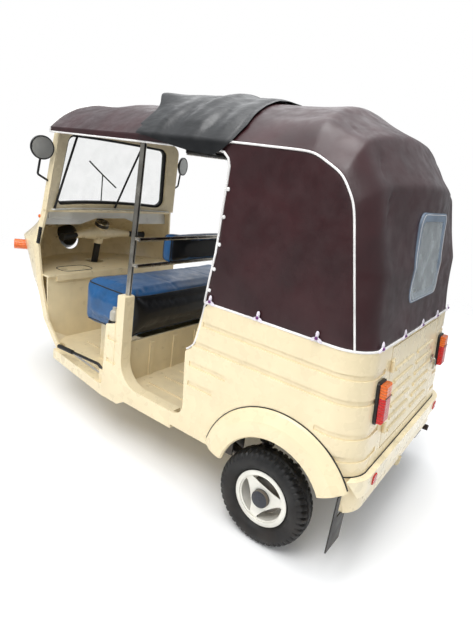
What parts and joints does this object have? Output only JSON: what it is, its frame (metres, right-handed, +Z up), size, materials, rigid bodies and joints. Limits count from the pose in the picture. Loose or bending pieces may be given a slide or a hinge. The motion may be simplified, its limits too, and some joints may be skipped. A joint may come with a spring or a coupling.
{
  "type": "auto rickshaw",
  "caption": "Three-wheeled passenger auto rickshaw with a ribbed cream tub, dark fabric hood, open sides, handlebar steering, bench seats and a louvred rear engine door.",
  "frame": {"origin": "on the ground in the middle of the vehicle's length and width", "axes": "+Z up; the vehicle faces -Y, and its left side is towards +X"},
  "size_m": [1.3044, 2.64, 1.7615],
  "materials": {
    "cream_paint": "gloss enamel",
    "cream_door": "gloss enamel with pressed louvres",
    "chassis_black": "satin black paint",
    "hood_cloth": "dark maroon coated cloth with a soft sheen",
    "rain_cloth": "grey black coated tarpaulin",
    "seat_cover": "dark navy vinyl with blue sides",
    "clear_plastic": "clear flexible window",
    "screen_glass": "clear laminated glass",
    "black_rubber": "black rubber",
    "chrome": "bright plated tube",
    "lamp_lens": "moulded lens, red with an amber top",
    "headlamp_lens": "fluted lens in a bright bowl",
    "bumper_paint": "gloss enamel",
    "tyre_rubber": "block tread rubber",
    "wheel_paint": "off white enamel",
    "engine_metal": "cast, oily",
    "steel_pipe": "heat stained steel",
    "grip_rubber": "ribbed rubber",
    "black_plastic": "textured black",
    "damper_steel": "black springs"
  },
  "bodies": {
    "body": {"side_panels": "cream_paint", "rear_frame": "cream_paint", "fenders": "cream_paint", "side_frames": "cream_paint", "floor_pan": "cream_paint", "nose_panel": "cream_paint", "inner_panel": "cream_paint", "dash_panel": "cream_paint", "windscreen_frame": "cream_paint", "windscreen_seal": "black_rubber", "windscreen_glass": "screen_glass", "front_roof": "hood_cloth", "rear_hood": "hood_cloth", "rear_window": "clear_plastic", "rain_flap": "rain_cloth", "roof_frame": "chassis_black", "pole_frame": "chrome", "seat_cushions": "seat_cover", "backrests": "seat_cover", "seat_bases": "cream_paint", "trailing_arms": "chassis_black", "rear_dampers": "damper_steel", "engine_block": "engine_metal", "exhaust": "steel_pipe", "chassis_frame": "chassis_black", "rear_bumper": "bumper_paint", "lamps": "lamp_lens", "headlamp": "headlamp_lens", "mirrors": "black_plastic", "mud_flaps": "black_rubber"},
    "steering": {"fork": "cream_paint", "front_damper": "damper_steel", "front_mudguard": "cream_paint", "handlebar_cover": "cream_paint", "instrument": "black_plastic", "grips": "grip_rubber", "control_levers": "chrome"},
    "front_wheel": {"tyre_front": "tyre_rubber", "wheel_front": "wheel_paint"},
    "rear_wheel_left": {"tyre_rear_left": "tyre_rubber", "wheel_rear_left": "wheel_paint"},
    "rear_wheel_right": {"tyre_rear_right": "tyre_rubber", "wheel_rear_right": "wheel_paint"},
    "engine_door": {"engine_door": "cream_door"},
    "start_lever": {"start_lever": "chassis_black"}
  },
  "joints": [
    {"name": "steering", "type": "hinge", "parent": "body", "child": "steering", "pos_m": [0, -1.047, 0.251], "axis": [0, 0.1736, 0.9848], "range_deg": [-35, 35]},
    {"name": "front_wheel_spin", "type": "hinge", "parent": "steering", "child": "front_wheel", "pos_m": [0, -1.025, 0.206], "axis": [1, 0, 0], "continuous": true},
    {"name": "rear_wheel_left_spin", "type": "hinge", "parent": "body", "child": "rear_wheel_left", "pos_m": [0.5875, 0.95, 0.206], "axis": [1, 0, 0], "continuous": true},
    {"name": "rear_wheel_right_spin", "type": "hinge", "parent": "body", "child": "rear_wheel_right", "pos_m": [-0.5875, 0.95, 0.206], "axis": [1, 0, 0], "continuous": true},
    {"name": "engine_door_hinge", "type": "hinge", "parent": "body", "child": "engine_door", "pos_m": [0.354, 1.29266, 0.56599], "axis": [0, 0.0987, -0.9951], "range_deg": [0, 90]},
    {"name": "start_lever_pivot", "type": "hinge", "parent": "body", "child": "start_lever", "pos_m": [0.566, -0.12, 0.357], "axis": [-1, 0, 0], "range_deg": [0, 45]}
  ]
}
